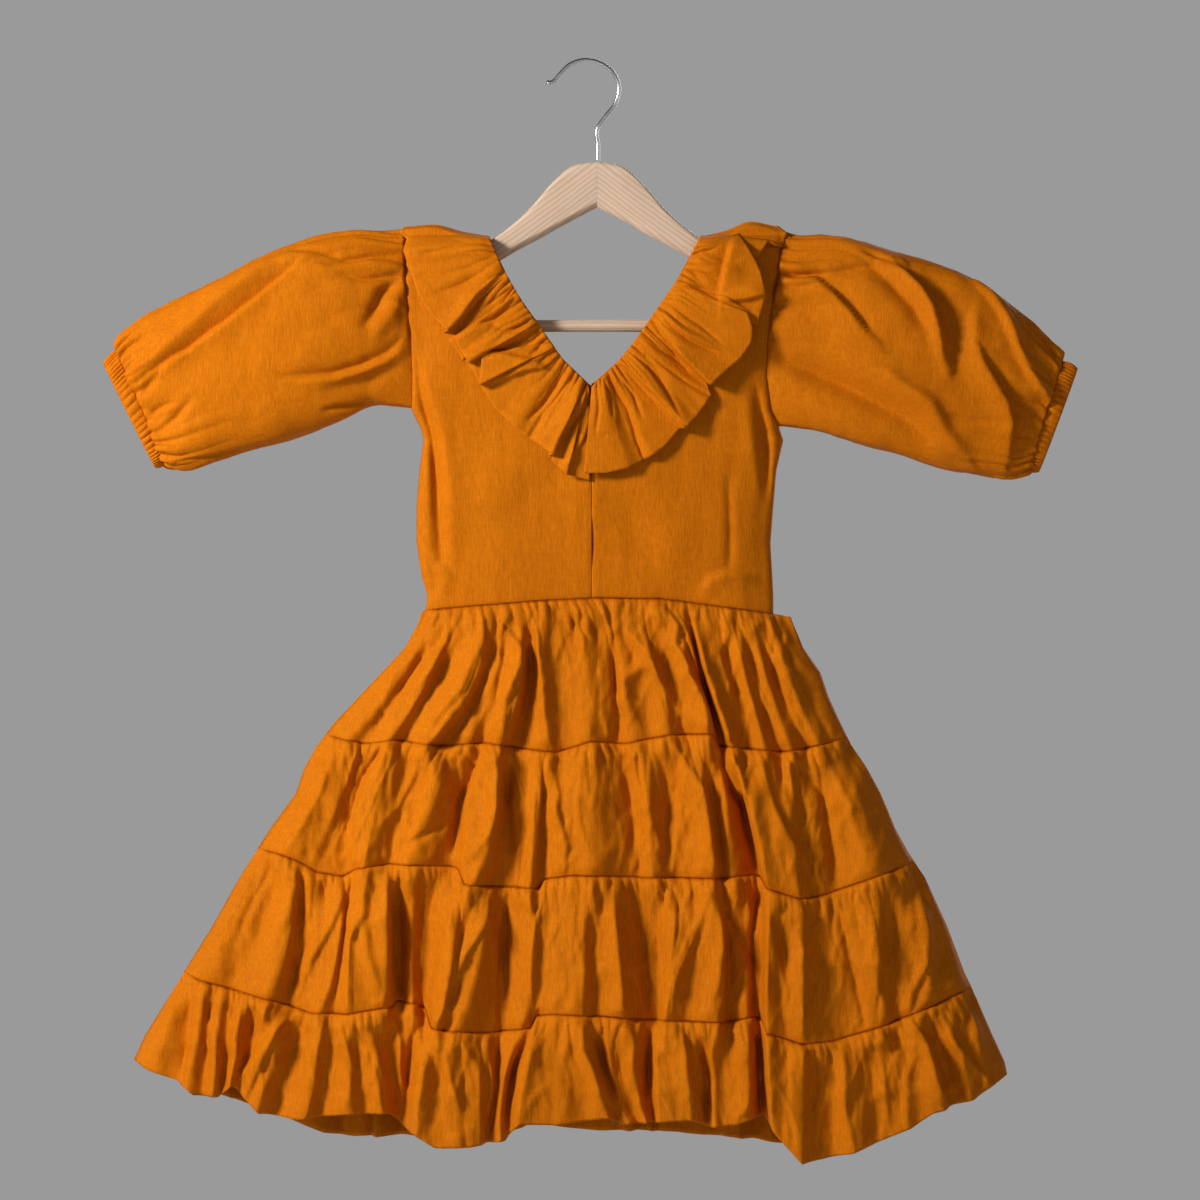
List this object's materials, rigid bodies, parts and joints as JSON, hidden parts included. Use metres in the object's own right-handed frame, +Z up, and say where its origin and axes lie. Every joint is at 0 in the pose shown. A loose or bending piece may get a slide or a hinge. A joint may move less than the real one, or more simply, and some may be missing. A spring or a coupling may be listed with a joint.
{
  "type": "tiered dress on a hanger",
  "caption": "Girl's tiered dress with puff sleeves and a ruffled V-neck, flat and hanging on a wooden hanger.",
  "frame": {"origin": "where the hanger's hook rests on a rail: the inner top of the hook, in the middle plane of the dress", "axes": "+Z up along the dress from hem to hook, -Y out of the dress's front, +X to the right as the front is seen"},
  "size_m": [0.7792, 0.1042, 0.8775],
  "materials": {
    "cloth": "matte crinkled weave",
    "wood": "satin",
    "steel": "polished"
  },
  "bodies": {
    "root": {"bodice_front_left": "cloth", "bodice_front_right": "cloth", "bodice_back_left": "cloth", "bodice_back_right": "cloth", "ruffle_front_left": "cloth", "ruffle_front_right": "cloth", "ruffle_back_left": "cloth", "ruffle_back_right": "cloth", "sleeve_left": "cloth", "sleeve_right": "cloth", "cuff_left": "cloth", "cuff_right": "cloth", "skirt_tier_1_front": "cloth", "skirt_tier_1_back": "cloth", "skirt_tier_2_front": "cloth", "skirt_tier_2_back": "cloth", "skirt_tier_3_front": "cloth", "skirt_tier_3_back": "cloth", "skirt_tier_4_front": "cloth", "skirt_tier_4_back": "cloth", "hanger_arm_left": "wood", "hanger_arm_right": "wood", "hanger_bar": "wood", "hanger_hook": "steel"}
  },
  "joints": []
}
